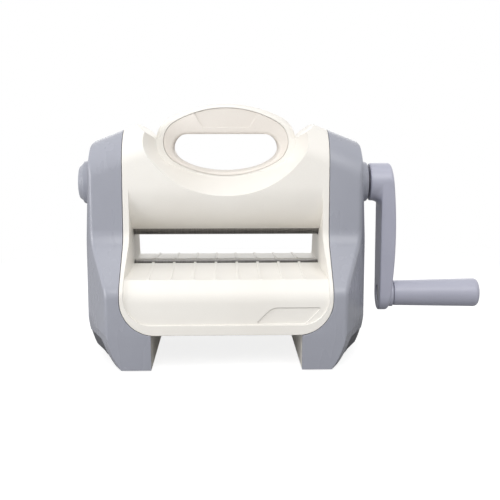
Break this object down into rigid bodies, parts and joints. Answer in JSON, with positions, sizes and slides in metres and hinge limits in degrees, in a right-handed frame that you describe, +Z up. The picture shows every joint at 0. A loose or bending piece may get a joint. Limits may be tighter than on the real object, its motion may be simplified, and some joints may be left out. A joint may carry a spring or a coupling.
{
  "type": "die cutting machine",
  "caption": "Hand cranked die cutting machine with a feed slot between geared rollers, side covers with feet, a carry handle and a crank with a turning grip.",
  "frame": {"origin": "centre of the bounding box on the table plane", "axes": "+X along the rollers towards the crank, +Y away from the feed side seen in the picture, +Z up"},
  "size_m": [0.3487, 0.164, 0.2132],
  "materials": {
    "cream_plastic": "satin",
    "liner_plastic": "satin",
    "grey_plastic": "satin",
    "crank_plastic": "satin",
    "dark_plastic": "matt",
    "pad_rubber": "matt",
    "roller_steel": "blackened",
    "plate_steel": "zinc plated",
    "gear_steel": "machined",
    "bush_bronze": "sintered",
    "screw_steel": "zinc plated"
  },
  "bodies": {
    "frame": {"base_screws": "screw_steel", "cover_screws": "screw_steel", "foot_pads": "pad_rubber", "front_shell": "cream_plastic", "handle_liner_front": "liner_plastic", "handle_liner_rear": "liner_plastic", "inner_shaft_bush": "bush_bronze", "left_base": "dark_plastic", "left_cap": "grey_plastic", "left_cover": "grey_plastic", "left_leg_panel": "cream_plastic", "left_side_plate": "plate_steel", "lower_left_bush": "bush_bronze", "lower_right_bush": "bush_bronze", "outer_shaft_bush": "bush_bronze", "rear_shell": "cream_plastic", "right_base": "dark_plastic", "right_cover": "grey_plastic", "right_leg_panel": "cream_plastic", "right_side_plate": "plate_steel", "shell_screws": "screw_steel", "shell_side_screws": "screw_steel", "tie_rod_screws": "screw_steel", "tie_rods": "plate_steel", "upper_left_bush": "bush_bronze", "upper_right_bush": "bush_bronze"},
    "crank": {"crank_shaft": "plate_steel", "crank_pinion": "gear_steel", "pinion_pin": "gear_steel", "shaft_clip": "gear_steel", "crank_arm": "crank_plastic", "crank_screw": "screw_steel", "crank_washer": "screw_steel", "grip_bolt": "screw_steel", "grip_nut": "screw_steel"},
    "grip": {"crank_grip": "crank_plastic"},
    "upper_roller": {"upper_roller": "roller_steel", "upper_roller_gear": "gear_steel", "upper_gear_key": "gear_steel", "upper_roller_clips": "gear_steel"},
    "lower_roller": {"lower_roller": "roller_steel", "lower_roller_gear": "gear_steel", "lower_gear_key": "gear_steel", "lower_roller_clips": "gear_steel"}
  },
  "joints": [
    {"name": "crank_spin", "type": "hinge", "parent": "frame", "child": "crank", "pos_m": [0.076, 0, 0.1465], "axis": [1, 0, 0], "continuous": true},
    {"name": "grip_spin", "type": "hinge", "parent": "crank", "child": "grip", "pos_m": [0.14, 0, 0.0479], "axis": [1, 0, 0], "continuous": true},
    {"name": "upper_roller_spin", "type": "hinge", "parent": "frame", "child": "upper_roller", "pos_m": [-0.0486, 0, 0.112], "axis": [1, 0, 0], "continuous": true},
    {"name": "lower_roller_spin", "type": "hinge", "parent": "frame", "child": "lower_roller", "pos_m": [-0.0486, 0, 0.067], "axis": [1, 0, 0], "continuous": true}
  ],
  "couplings": [
    {"joint": "upper_roller_spin", "follows": "crank_spin", "ratio": -0.53333},
    {"joint": "lower_roller_spin", "follows": "crank_spin", "ratio": 0.53333}
  ]
}
